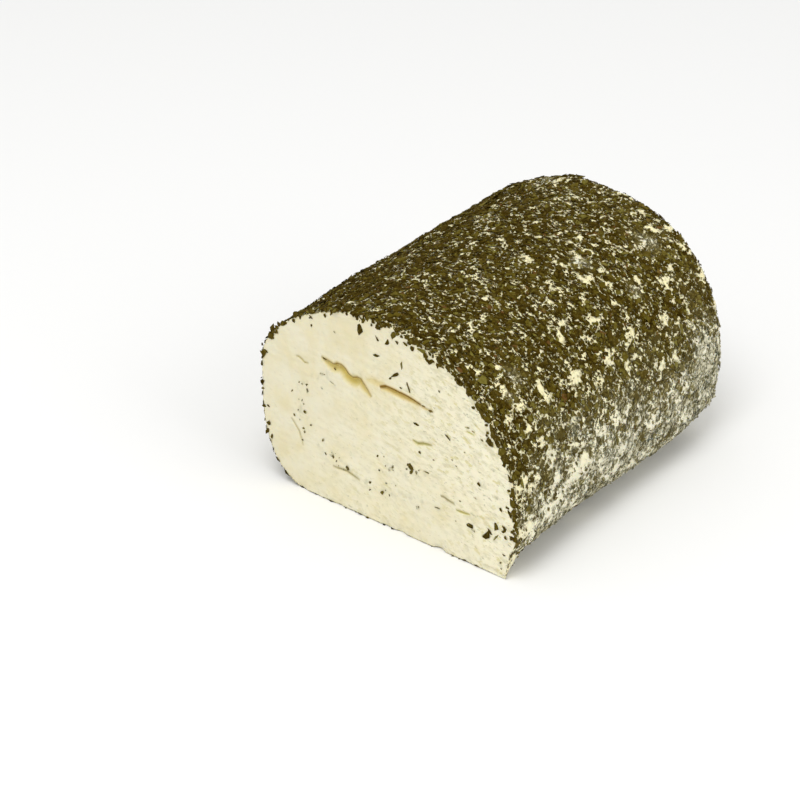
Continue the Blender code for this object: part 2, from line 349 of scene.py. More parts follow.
class CheeseSizes(PropertyGroup):
    """Sizes of the cheese."""

    width: FloatProperty(
        name="Width", description="Widest part of the section", default=100 * MM, unit="LENGTH"
    )
    height: FloatProperty(
        name="Height", description="Height of the crown over the table", default=64.7 * MM, unit="LENGTH"
    )
    length: FloatProperty(
        name="Length", description="Length on the table, from the cut", default=112.6 * MM, unit="LENGTH"
    )
    coat_relief: FloatProperty(
        name="Coat Relief", description="Height of the coat's small bumps", default=0.5 * MM, unit="LENGTH"
    )
    smear_rise: FloatProperty(
        name="Smear Rise", description="How far bare cream stands up", default=0.35 * MM, unit="LENGTH"
    )
    face_relief: FloatProperty(
        name="Face Relief", description="Height of the cut face's waves", default=0.25 * MM, unit="LENGTH"
    )


class HerbSettings(PropertyGroup):
    """Sizes and numbers of the herbs."""

    flakes: IntProperty(name="Flakes", description="Leaf flakes in each layer", default=13500, min=1)
    base_share: FloatProperty(
        name="Base Share", description="How much of the coat is on the base", default=0.5, subtype="FACTOR"
    )
    flake_length: FloatProperty(
        name="Flake Length", description="Length of a usual leaf flake", default=2.0 * MM, unit="LENGTH"
    )
    flake_thickness: FloatProperty(
        name="Flake Thickness", description="Thickness of a leaf flake", default=0.2 * MM, unit="LENGTH"
    )
    seam_herbs: IntProperty(
        name="Seam Herbs", description="Herbs along the roll's inner seam", default=60, min=0
    )
    rim_herbs: IntProperty(
        name="Rim Herbs", description="Flakes pulled over the rim of the cut", default=260, min=0
    )


def colour(name, default, description):
    return FloatVectorProperty(
        name=name, description=description, default=default, subtype="COLOR", size=3, min=0, max=1
    )


class CheeseColours(PropertyGroup):
    """Colours of the cheese and the herbs."""

    cream: colour("Cream", (0.755, 0.71, 0.53), "Fresh cheese")
    curd: colour("Curd", (0.84, 0.795, 0.60), "Pale lumps of curd")
    coat_cream: colour("Coat Cream", (0.84, 0.775, 0.47), "Cheese between the herbs")
    flank_cream: colour("Flank Cream", (0.84, 0.80, 0.60), "Cheese that is rubbed thin over the flanks")
    gold: colour("Gold", (0.64, 0.46, 0.085), "Cheese that has dried in the crevices")
    pale_gold: colour("Pale Gold", (0.60, 0.56, 0.20), "Cheese that has dried in the small tears")
    # The dark edges are partly the tears' own dried colour and partly painted shadow under their upper lips.
    edge: colour("Edge", (0.22, 0.12, 0.002), "Dark edge of the crevices")
    olive_edge: colour("Olive Edge", (0.19, 0.145, 0.025), "Dark edge of the small tears")
    stain: colour("Stain", (0.52, 0.49, 0.30), "Cheese that the herbs have stained")
    thread: colour("Thread", (0.56, 0.49, 0.15), "Yellow threads between the curds")
    # The Fleck colour is painted shade in the small pits between the curds.
    fleck: colour("Fleck", (0.28, 0.27, 0.15), "Small dark flecks in the curds")
    seam: colour("Seam", (0.32, 0.33, 0.22), "Stain along the roll's inner seam")
    dark_leaf: colour("Dark Leaf", (0.028, 0.0165, 0.0003), "Darkest dried leaf")
    brown_leaf: colour("Brown Leaf", (0.055, 0.034, 0.002), "Brownish dried leaf")
    olive_leaf: colour("Olive Leaf", (0.094, 0.070, 0.007), "Olive dried leaf")
    green_leaf: colour("Green Leaf", (0.165, 0.145, 0.030), "Yellow-green dried leaf")
    red_leaf: colour("Red Leaf", (0.115, 0.055, 0.015), "Red-brown fleck of spice")
    smear: colour("Smear", (0.20, 0.163, 0.042), "Leaf that a little cream is rubbed on")
    veil: colour("Veil", (0.203, 0.199, 0.119), "Leaf under a thin film of cream")
    cool_veil: colour("Cool Veil", (0.168, 0.196, 0.148), "Leaf that shows bluish through the cream")
    film: colour("Film", (0.57, 0.54, 0.39), "Cream that is rubbed into the leaves")
    warm_film: colour("Warm Film", (0.54, 0.45, 0.16), "Thin cream on the crown's leaves")


# Older cheese, as a share of the fresh cheese's colour.
YELLOWED = (0.95, 0.91, 0.78)


class StudioSettings(PropertyGroup):
    """Light and floor."""

    key_power: FloatProperty(name="Key Power", description="Main light", default=9.0, unit="POWER")
    fill_power: FloatProperty(name="Fill Power", description="Light on the side", default=3.0, unit="POWER")
    sky: FloatProperty(name="Sky", description="Even light from all around", default=0.80, min=0)
    floor: colour("Floor", (0.86, 0.86, 0.85), "Plain pale floor")


# ---- shape of the roll ----


def smooth(low, high, value):
    """0 below low, 1 above high, and an even curve between."""
    share = min(max((value - low) / (high - low), 0.0), 1.0)
    return share * share * (3 - 2 * share)


def section_point(angle, sizes, along):
    """A point (x, z) of the section's outline, by its angle about the waist and its place along the roll."""
    right = math.cos(angle) >= 0
    reach = sizes.width * ((1 - LEFT_SHARE) if right else -LEFT_SHARE)
    waist = sizes.width * (RIGHT_WAIST if right else LEFT_WAIST)
    if math.sin(angle) >= 0:
        squareness = RIGHT_SHOULDER if right else LEFT_SHOULDER
        rise = sizes.height - waist
    else:
        squareness = RIGHT_FOOT if right else LEFT_FOOT
        rise = -waist * BASE_SINK
    x = reach * abs(math.cos(angle)) ** (2 / squareness)
    z = max(waist + rise * abs(math.sin(angle)) ** (2 / squareness), 0.0)
    behind_cut = along * sizes.length
    if right and z < LIP_RISE and behind_cut < LIP_BACK:
        x, z = pulled_to_corner(x, z, 1 - behind_cut / LIP_BACK, lip_side(sizes))
    return Vector((x, z))


def lip_side(sizes):
    """How far right the section reaches where the pressed corner starts."""
    waist = sizes.width * RIGHT_WAIST
    share = ((waist - LIP_RISE) / (waist * BASE_SINK)) ** (RIGHT_FOOT / 2)
    return sizes.width * (1 - LEFT_SHARE) * (1 - share**2) ** (1 / RIGHT_FOOT)


def pulled_to_corner(x, z, pull, side):
    """Moves a point of the rounded foot towards the sharp corner that the knife pressed on the table."""
    if x < LIP_START:
        return x, z
    walked = (side - x) + (LIP_RISE - z)
    inset = side - LIP_TIP
    if walked < LIP_RISE:
        corner_x, corner_z = side - inset * walked / LIP_RISE, LIP_RISE - walked
    else:
        corner_x, corner_z = side - inset - (walked - LIP_RISE), 0.0
    ease = smooth(LIP_START, LIP_START + 8 * MM, x)
    weight = pull**0.8 * max(ease, 0.15)
    return x + (corner_x - x) * weight, z + (corner_z - z) * weight


def cut_plane(x):
    return CUT_SKEW * x


def rounded(reach, along, full_reach, length):
    """Rounds the rim between the side and the far end."""
    inner_reach = min(reach, full_reach - FAR_RIM_RADIUS)
    inner_along = min(along, 1.0 - FAR_RIM_RADIUS / length)
    outward = Vector((reach - inner_reach, (along - inner_along) * length))
    if outward.x > 0 and outward.y > 0:
        outward *= FAR_RIM_RADIUS / max(outward.length, FAR_RIM_RADIUS)
    return inner_reach + outward.x, inner_along + outward.y / length


def cream_film(place, length):
    """How bare the coat's cream is at a point: herbs cover it below 0, and it is all cream at BARE_AT."""
    patches = PATCH_WEIGHT * noise.noise(place / PATCH_SIZE + PATCH_START)
    across = place.y * math.cos(STREAK_LEAN) + place.z * math.sin(STREAK_LEAN)
    along = place.z * math.cos(STREAK_LEAN) - place.y * math.sin(STREAK_LEAN)
    slanted = Vector((place.x / BARE_STREAK[0], across / BARE_STREAK[1], along / BARE_STREAK[2])) / MM
    streaks = STREAK_WEIGHT * noise.noise(slanted + STREAK_START)
    specks = SPECK_WEIGHT * noise.noise(place / SPECK_SIZE + SPECK_START)
    far_end = FAR_END_WEIGHT * smooth(0.10, 0.6, place.y / length)
    before_end = length + FAR_LEAN * place.z + FAR_SKEW * place.x - place.y
    far_rim = FAR_RIM_WEIGHT * math.exp(-((before_end / FAR_RIM_WIDTH) ** 2))
    far_rim *= smooth(-10 * MM, 15 * MM, place.x)
    flank = (FLANK_WEIGHT - FLANK_LOSS * smooth(0.15, 0.8, place.y / length)) * low_side(place)
    spot = SPOT_WEIGHT * in_patches(place, CREAM_PATCHES, CREAM_TREE)
    return patches + streaks + specks + far_end + far_rim + flank + spot - COVER


def in_patches(place, patches, tree):
    """From 0 to 1, how far inside the nearest patch a point is."""
    _, nearest, distance = tree.find(place)
    return math.exp(-((distance / (patches[nearest][3] * MM)) ** 2))


def low_side(place):
    """From 0 to 1, how far down on the roll's flanks a point is."""
    return smooth(56 * MM, 12 * MM, place.z) * smooth(15 * MM, 46 * MM, abs(place.x))


def cream_veil(place, length):
    """From 0 to 1, how much a thin film of cream greys the herbs at a point."""
    flank = FLANK_VEIL * low_side(place)
    cloud = CLOUD_VEIL * noise.noise(place / CLOUD_SIZE + CLOUD_START)
    far_end = FAR_END_VEIL * smooth(0.75, 1.0, place.y / length)
    frosted = FROSTED_VEIL * in_patches(place, FROSTED_PATCHES, FROSTED_TREE)
    near_cut = CUT_CLEAR * smooth(25 * MM, 2 * MM, place.y - cut_plane(place.x))
    return min(max(flank + far_end + frosted + cloud - CROWN_CLEAR - near_cut, 0.0), 1.0)


def tree_of(spots):
    """A search tree over a few points."""
    tree = KDTree(len(spots))
    for number, spot in enumerate(spots):
        tree.insert(spot, number)
    tree.balance()
    return tree


CREAM_TREE = tree_of([Vector(patch[:3]) * MM for patch in CREAM_PATCHES])
FROSTED_TREE = tree_of([Vector(patch[:3]) * MM for patch in FROSTED_PATCHES])


def beside_a_tear(x, z):
    """Whether a point of the cut face is close enough to a tear to need a finer mesh."""
    for line, width, *_ in TEARS:
        across, up = zip(*line)
        if not min(across) - FINE_BESIDE < x / MM < max(across) + FINE_BESIDE:
            continue
        if min(up) - width - FINE_BELOW < z / MM < max(up) + FINE_ABOVE:
            return True
    return False


def torn(x, z):
    """The tears at a point of the cut face: their depth, how dark their edge is, partly with painted shadow
    under the upper lip, how golden their inside, and how warm their tone."""
    depth_here = edge_here = gold_here = warm_here = 0.0
    if not beside_a_tear(x, z):
        return depth_here, edge_here, gold_here, warm_here
    point = Vector((x, z))
    for line, width, depth, edge, gold, warm in TEARS:
        away, share, below = nearest_on(line, point)
        taper = math.sqrt(max(4 * share * (1 - share), 0.0))
        fade = math.sqrt(taper)
        down = away / (width * MM * max(taper, 0.05))
        if below > 0 and down < 1:
            profile = smooth(0.0, 0.15, down) * (1 - smooth(0.25, 1.0, down))
            depth_here = max(depth_here, depth * MM * taper * profile)
            gold_here = max(gold_here, gold * fade * (1 - smooth(0.45, 1.0, down)))
        edge_here = max(edge_here, edge * fade * math.exp(-((away / EDGE_REACH) ** 2)))
        reach = GOLD_REACH * min(width / 2, 1) * (1 if below > 0 else 0.6)
        gold_here = max(gold_here, 0.65 * gold * fade * math.exp(-((away / reach) ** 2)))
        warm_here = max(warm_here, warm * math.exp(-((away / WARM_REACH) ** 2)))
    return depth_here, edge_here, gold_here, warm_here


def nearest_on(line, point):
    """The distance to a line of points in millimetres, its share along the line, and how far below it is."""
    best = (math.inf, 0.0, 0.0)
    for number, (start, end) in enumerate(zip(line, line[1:])):
        first, last = Vector(start) * MM, Vector(end) * MM
        reach = last - first
        share = min(max((point - first).dot(reach) / reach.length_squared, 0.0), 1.0)
        offset = point - first - share * reach
        if offset.length < best[0]:
            below = -reach.normalized().cross(offset)
            best = (offset.length, (number + share) / (len(line) - 1), below)
    return best


def seam_spot(along):
    """A point of the roll's inner seam on the cut face, from 0 at its start to 1 at its inner end."""
    angle = SEAM_START + SEAM_TURN * along
    left = 1 - (1 - SEAM_INNER) * max(along - SEAM_STRAIGHT, 0) / (1 - SEAM_STRAIGHT)
    x = SEAM_MIDDLE[0] + SEAM_HALVES[0] * left * math.cos(angle)
    z = SEAM_MIDDLE[1] + SEAM_HALVES[1] * left * math.sin(angle)
    return x, z


SEAM_TREE = tree_of([Vector((*seam_spot(step / 90), 0.0)) for step in range(91)])


def seam_nearness(x, z):
    """From 0 to 1, how near a point of the cut face is to the roll's inner seam."""
    _, _, distance = SEAM_TREE.find((x, z, 0.0))
    return math.exp(-((distance / SEAM_WIDTH) ** 2))


def face_waves(x, z, relief):
    """Low waves and knife marks on the cut face."""
    broad = noise.noise(Vector((x / (9 * MM), z / (7 * MM), 2.0)))
    marks = noise.noise(Vector((x / (11 * MM), z / (1.5 * MM), 5.0)))
    curds = noise.noise(Vector((x / (1.9 * MM), z / (1.9 * MM), 9.0)))
    return relief * (0.9 * broad + 0.35 * marks + 0.45 * curds)


def skin_point(cage, sizes):
    """Where a point of the cage, a cube of side 2, lies on the smooth log, its outward spoke, and its ring
    and place along."""
    ring = max(abs(cage.x), abs(cage.z))
    along = (cage.y + 1) / 2
    core = Vector((0.0, CORE_SHARE * sizes.height))
    spot, spoke = core.copy(), Vector((0.0, 0.0))
    if ring > 1e-6:
        warped = [math.tan(math.pi / 4 * value / ring) for value in (cage.x, cage.z)]
        edge = section_point(math.atan2(warped[1], warped[0]), sizes, along) - core
        reach, along = rounded(ring * edge.length, along, edge.length, sizes.length)
        spoke = edge.normalized()
        spot = core + reach * (1 + FAR_GROWTH * along) * spoke
    spot.y = max(spot.y, 0.0)
    dome = FAR_DOME * (1 - ring**2) * along
    start = cut_plane(spot.x)
    end = sizes.length + FAR_LEAN * spot.y + FAR_SKEW * spot.x + dome
    place = Vector((spot.x, start + (end - start) * along, spot.y))
    for x, y, z, width, rise in DENTS:
        swell = math.exp(-(((place - Vector((x, y, z)) * MM).length / (width * MM)) ** 2))
        place += Vector((spoke.x, 0.0, spoke.y)) * rise * MM * ring**2 * swell
    place.z = max(place.z, 0.0)
    return place, spoke, ring, along


def log_point(cage, sizes):
    """Where a point of the cage lies with all its relief, and its looks, in the order of LOOKS."""
    place, spoke, ring, along = skin_point(cage, sizes)
    on_cut = cage.y < -1 + 1e-6
    on_side = ring > 1 - 1e-6
    bare = veil = edge = gold = warm = seam = curdled = 0.0
    if on_cut:
        near_rim = smooth(1.0, 0.94, ring)
        depth, edge, gold, warm = (value * near_rim for value in torn(place.x, place.z))
        seam = seam_nearness(place.x, place.z)
        curdled = smooth(-45 * MM, 25 * MM, place.x - 0.5 * place.z)
        # The curdling fades round one spot low on the face: a painted pool of shade.
        from_shade_pool = math.dist((place.x, place.z), SHADE_POOL_SPOT)
        curdled *= 1 - SHADE_POOL_DEPTH * math.exp(-((from_shade_pool / SHADE_POOL_REACH) ** 2))
        place.y += depth - face_waves(place.x, place.z, sizes.face_relief) * near_rim
        crumbled = max(noise.noise(Vector((place.x / CRUMB_SIZE, 0.0, 11.0))), 0.0)
        place.y += CRUMBLED * crumbled * smooth(2.5 * MM, 0.0, place.z) * smooth(1.0, 0.97, abs(cage.x))
    elif on_side or along > 0.99:
        bare = smooth(0.0, BARE_AT, cream_film(place, sizes.length))
        veil = cream_veil(place, sizes.length)
        outward = Vector((spoke.x, 0.0, spoke.y)) if on_side else Vector((0.0, 1.0, 0.0))
        lumps = LUMP_HEIGHT * noise.noise(place / LUMP_SIZE)
        grain = noise.noise(place / (3.1 * MM)) + 0.5 * noise.noise(place / (1.5 * MM))
        rise = lumps + sizes.coat_relief * grain + sizes.smear_rise * bare
        above_base = smooth(0.0, 3 * MM, place.z)
        place += outward * rise * above_base
    herbs = 0.0 if on_cut and ring < 1 - 1e-6 else 1.0
    place.z = max(place.z, BASE_LIFT * herbs)
    return place, (herbs, bare, veil, edge, gold, warm, seam, curdled)


def finished(name, mesh, material, replaced=None):
    """Links a finished mesh, gives it its finish and hands it to the frame."""
    mesh.materials.append(material)
    mesh.transform(Matrix.Translation(FACE_TO_ORIGIN))
    piece = bpy.data.objects.new(name, mesh)
    bpy.context.scene.collection.objects.link(piece)
    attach(piece, BODY)
    if replaced:
        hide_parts(replaced)
    return piece


def subdivided_cage(sizes):
    """A cube with even loops along its three axes, a finer cut side, and the finest parts at the tears."""
    body = bmesh.new()
    bmesh.ops.create_cube(body, size=2.0)
    for axis, cuts in ((0, CUTS_ACROSS), (1, CUTS_ALONG), (2, CUTS_UP)):
        crossing = [e for e in body.edges if abs(e.verts[0].co[axis] - e.verts[1].co[axis]) > 1.9]
        bmesh.ops.subdivide_edges(body, edges=crossing, cuts=cuts, use_grid_fill=True)
    cut_side = [e for e in body.edges if all(v.co.y < -1 + 1e-6 for v in e.verts)]
    bmesh.ops.subdivide_edges(body, edges=cut_side, cuts=1, use_grid_fill=True)
    body.verts.index_update()
    torn_here = set()
    for vertex in body.verts:
        if vertex.co.y < -1 + 1e-6 and max(abs(vertex.co.x), abs(vertex.co.z)) < 0.97:
            place = skin_point(vertex.co, sizes)[0]
            if beside_a_tear(place.x, place.z):
                torn_here.add(vertex.index)
    fine = [e for e in body.edges if all(v.index in torn_here for v in e.verts)]
    bmesh.ops.subdivide_edges(body, edges=fine, cuts=1, use_grid_fill=True)
    return body


# ---- materials ----


class Signal:
    """A socket's value, or a plain number, that takes part in sums."""

    def __init__(self, shop, socket):
        self.shop = shop
        self.socket = socket

    def calculated(self, operation, *values):
        inputs = dict(enumerate(values))
        return self.shop.add("ShaderNodeMath", {"operation": operation}, inputs)

    def __add__(self, other):
        return self.calculated("ADD", self, other)

    def __radd__(self, other):
        return self.calculated("ADD", other, self)

    def __sub__(self, other):
        return self.calculated("SUBTRACT", self, other)

    def __rsub__(self, other):
        return self.calculated("SUBTRACT", other, self)

    def __mul__(self, other):
        return self.calculated("MULTIPLY", self, other)

    def __rmul__(self, other):
        return self.calculated("MULTIPLY", other, self)

    def between(self, low, high):
        """0 below low, 1 above high, smooth between."""
        inputs = {"Value": self, "From Min": low, "From Max": high}
        return self.shop.add("ShaderNodeMapRange", {"interpolation_type": "SMOOTHSTEP"}, inputs)


class Shop:
    """One material and the means to add nodes to it."""

    def __init__(self, name, roughness, specular):
        self.material = bpy.data.materials.new(name)
        self.material.use_nodes = True
        self.tree = self.material.node_tree
        self.shader = self.tree.nodes["Principled BSDF"]
        self.shader.inputs["Roughness"].default_value = roughness
        self.shader.inputs["Specular IOR Level"].default_value = specular

    def feed(self, socket, value):
        if isinstance(value, Signal):
            self.tree.links.new(value.socket, socket)
        elif isinstance(value, (tuple, list, Vector)) or hasattr(value, "__len__"):
            padded = list(value) + [1.0] * (len(socket.default_value) - len(value))
            socket.default_value = padded
        else:
            socket.default_value = value

    def add(self, kind, settings, inputs, output=0):
        """Adds a node: its settings are set first, then the values or links of its sockets."""
        node = self.tree.nodes.new(kind)
        for name, value in settings.items():
            if name == "stops":
                self.set_stops(node.color_ramp, value)
            else:
                setattr(node, name, value)
        for name, value in inputs.items():
            self.feed(node.inputs[name], value)
        return Signal(self, node.outputs[output])

    def set_stops(self, ramp, stops):
        while len(ramp.elements) < len(stops):
            ramp.elements.new(1.0)
        for element, (place, tone) in zip(ramp.elements, stops):
            element.position = place
            element.color = (*tone, 1.0)

    def place(self):
        return self.add("ShaderNodeTexCoord", {}, {}, "Object")

    def attribute(self, name):
        return self.add("ShaderNodeAttribute", {"attribute_name": name}, {}, "Fac")

    def stretched(self, vector, scale):
        return self.add("ShaderNodeMapping", {}, {"Vector": vector, "Scale": scale})

    def slanted(self, vector):
        """Coordinates that count in streaks, which rise along the flanks and lean with them."""
        inputs = {"Vector": vector, "Rotation": (STREAK_LEAN, 0.0, 0.0), "Scale": STREAK_SIZE}
        return self.add("ShaderNodeMapping", {"vector_type": "TEXTURE"}, inputs)

    def speckle(self, vector, scale, detail=2.0, roughness=0.5):
        inputs = {"Vector": vector, "Scale": scale, "Detail": detail, "Roughness": roughness}
        return self.add("ShaderNodeTexNoise", {}, inputs)

    def mixed(self, first, second, share):
        """One colour over another."""
        return self.add("ShaderNodeMix", {"data_type": "RGBA"}, {0: share, 6: first, 7: second}, 2)

    def bump(self, height, distance, strength=1.0):
        inputs = {"Height": height, "Distance": distance, "Strength": strength}
        return self.add("ShaderNodeBump", {}, inputs)

    def film_tones(self, place, veil, tones):
        """The colours of leaves under a film of cream, and of the cream on them, warmer where it is thin."""
        thick = veil.between(0.05, 0.90)
        cool = self.speckle(place, 75, 2).between(0.50, 0.68)
        veiled = self.mixed(self.mixed(tones.smear, tones.veil, thick), tones.cool_veil, cool * thick)
        return veiled, self.mixed(tones.warm_film, tones.film, thick)

    def finish(self, base_colour, normal=None):
        self.feed(self.shader.inputs["Base Color"], base_colour)
        if normal:
            self.feed(self.shader.inputs["Normal"], normal)
        return self.material


def cheese_finish(tones):
    """Soft cream cheese: faint mottling and pits, with painted shade in the pits between the curds, golden
    crevices, and fine herb dust on the coat.
    """
    shop = Shop("soft_cream_cheese", roughness=0.55, specular=0.3)
    shop.shader.inputs["Subsurface Weight"].default_value = 0.3
    shop.shader.inputs["Subsurface Radius"].default_value = (1.0, 0.75, 0.4)
    shop.shader.inputs["Subsurface Scale"].default_value = 1.2 * MM
    place = shop.place()
    herbs = shop.attribute("herbs")
    bare = shop.attribute("bare")
    curdled = shop.attribute("curdled")

    mottle = shop.speckle(place, 110, 3)
    curd = shop.speckle(place, 900, 3, 0.6)
    lumpy = curdled * (1 - herbs)
    knife = shop.speckle(shop.stretched(place, (120, 300, 900)), 1.0, 2)
    yellowed = tuple(tone * factor for tone, factor in zip(tones.cream, YELLOWED))
    base = shop.mixed(tones.cream, yellowed, mottle.between(0.35, 0.75))
    grained = shop.add(
        "ShaderNodeMapping",
        {"vector_type": "TEXTURE"},
        {"Vector": place, "Rotation": (0.0, GRAIN_TURN, 0.0), "Scale": GRAIN_SIZE},
    )
    base = shop.mixed(base, tones.curd, lumpy * shop.speckle(grained, 0.6, 3, 0.6).between(0.30, 0.55))
    blotch = shop.speckle(grained, 0.9, 3, 0.65).between(0.46, 0.66)
    base = shop.mixed(base, tones.stain, blotch * (0.06 + 0.50 * curdled) * (1 - herbs))
    thread = shop.speckle(grained, 0.8, 3, 0.6).between(0.58, 0.66)
    base = shop.mixed(base, tones.thread, thread * curdled * 0.6)
    # Small dark spots where the face is curdled: painted shade in the pits between the curds.
    fleck = shop.speckle(grained, 1.3, 2, 0.6).between(0.62, 0.69)
    base = shop.mixed(base, tones.fleck, fleck * (0.10 + 0.44 * curdled) * (1 - herbs))
    streak = shop.attribute("seam") * shop.speckle(place, 330, 3).between(0.50, 0.72)
    base = shop.mixed(base, tones.seam, streak * 0.4)
    golden = shop.attribute("gold") * shop.speckle(place, 600, 3, 0.6).between(-0.20, 0.50)
    warm = shop.attribute("warm")
    base = shop.mixed(base, shop.mixed(tones.pale_gold, tones.gold, warm), golden)
    # The dark line along a tear's upper edge: partly dried cheese, partly painted shadow under the lip.
    rough_edge = shop.attribute("edge") * shop.speckle(place, 480, 2).between(0.05, 0.45)
    base = shop.mixed(base, shop.mixed(tones.olive_edge, tones.edge, warm), rough_edge)

    veil = shop.attribute("veil")
    coat_tone = shop.mixed(tones.coat_cream, tones.flank_cream, veil.between(0.05, 0.90))
    base = shop.mixed(base, coat_tone, herbs * mottle.between(0.1, 0.5))
    dust = shop.speckle(place, 1000, 3, 0.65).between(0.47, 0.54) * (1 - 0.92 * bare)
    leaf = shop.mixed(tones.dark_leaf, tones.olive_leaf, shop.speckle(place, 700, 2).between(0.35, 0.65))
    veiled, _ = shop.film_tones(place, veil, tones)
    leaf = shop.mixed(leaf, veiled, veil * 0.8)
    dusted = shop.mixed(base, leaf, herbs * dust)

    relief = 0.6 * curd + 0.4 * knife
    return shop.finish(dusted, shop.bump(relief, 0.16 * MM, 0.7))


def leaf_finish(tones):
    """Dried leaves: each flake has its own tone, with darker and paler patches and a dusty film of cream."""
    shop = Shop("dried_herb_leaf", roughness=0.75, specular=0.02)
    place = shop.place()
    stops = (
        (0.0, tones.dark_leaf),
        (0.28, tones.brown_leaf),
        (0.52, tones.olive_leaf),
        (0.78, tones.green_leaf),
        (0.93, tones.red_leaf),
    )
    grain = shop.speckle(place, 1300, 2, 0.6)
    tint = shop.attribute("tint") + (grain - 0.5) * 0.45
    leaf = shop.add("ShaderNodeValToRGB", {"stops": stops}, {"Fac": tint})
    veil = shop.attribute("veil")
    smear = shop.speckle(place, 900, 3, 0.65).between(0.48, 0.70)
    smeared = shop.mixed(leaf, tones.smear, smear * 0.30)
    veil_tone, film_tone = shop.film_tones(place, veil, tones)
    veiled = shop.mixed(smeared, veil_tone, veil * (0.62 + 0.30 * smear))
    streaks = shop.speckle(shop.slanted(place), 1.0, 3, 0.65)
    rubbed = (streaks + veil * 0.33).between(0.66, 0.86)
    filmed = shop.mixed(veiled, film_tone, rubbed)
    return shop.finish(filmed, shop.bump(grain, 0.1 * MM, 0.5))


# ---- herbs ----


def coat_samples(cheese, count, off_cream, settings, sizes, draw):
    """Places on the coat, with their normals: even by area, and fewer where cream is bare or on the base."""
    mesh = cheese.data
    mesh.calc_loop_triangles()
    corners = np.empty(len(mesh.vertices) * 3)
    mesh.vertices.foreach_get("co", corners)
    corners = corners.reshape(-1, 3) - np.array(FACE_TO_ORIGIN)
    triangles = np.empty(len(mesh.loop_triangles) * 3, dtype=np.int64)
    mesh.loop_triangles.foreach_get("vertices", triangles)
    triangles = triangles.reshape(-1, 3)
    herbs = np.empty(len(mesh.vertices))
    mesh.attributes["herbs"].data.foreach_get("value", herbs)
    first, second, third = (corners[triangles[:, i]] for i in range(3))
    across = np.cross(second - first, third - first)
    area = np.linalg.norm(across, axis=1) / 2
    weight = area * (herbs[triangles].min(axis=1) > 0.5)
    on_base = first[:, 2] + second[:, 2] + third[:, 2] < 0.3 * MM
    weight *= np.where(on_base, settings.base_share, 1.0)
    chosen = draw.choice(len(triangles), size=count * 2, p=weight / weight.sum())
    blend = np.sort(draw.random((count * 2, 2)), axis=1)
    spots = (
        first[chosen] * blend[:, :1]
        + second[chosen] * (blend[:, 1:] - blend[:, :1])
        + third[chosen] * (1 - blend[:, 1:])
    )
    normals = across[chosen] / np.linalg.norm(across[chosen], axis=1, keepdims=True)
    places = [Vector(spot) for spot in spots]
    film = np.array([cream_film(place, sizes.length) for place in places])
    thinned = THINNED * np.clip((film + THIN_REACH) / THIN_REACH, 0, 1)
    missing = MISSING * np.clip(film / BARE_REACH, 0, 1)
    chance = 1 - off_cream * (thinned + missing)
    behind_cut = spots[:, 1] - cut_plane(spots[:, 0])
    at_cut_foot = (spots[:, 2] < CUT_FOOT_HEIGHT) & (behind_cut < CUT_FOOT_DEPTH)
    chance *= np.where(at_cut_foot, CUT_FOOT_SHARE, 1.0)
    chance *= 1 - FLANK_GAPS * np.array([low_side(place) for place in places])
    kept = np.nonzero(draw.random(count * 2) < chance)[0][:count]
    veil = np.array([cream_veil(places[number], sizes.length) for number in kept])
    return spots[kept], normals[kept], veil


def dealt_tints(count, draw):
    """Tints for flakes, by their shares, each a little off its kind's own."""
    places, shares = (np.array(column) for column in zip(*LEAF_TINTS))
    return draw.choice(places, size=count, p=shares / shares.sum()) + draw.normal(0, 0.05, count)


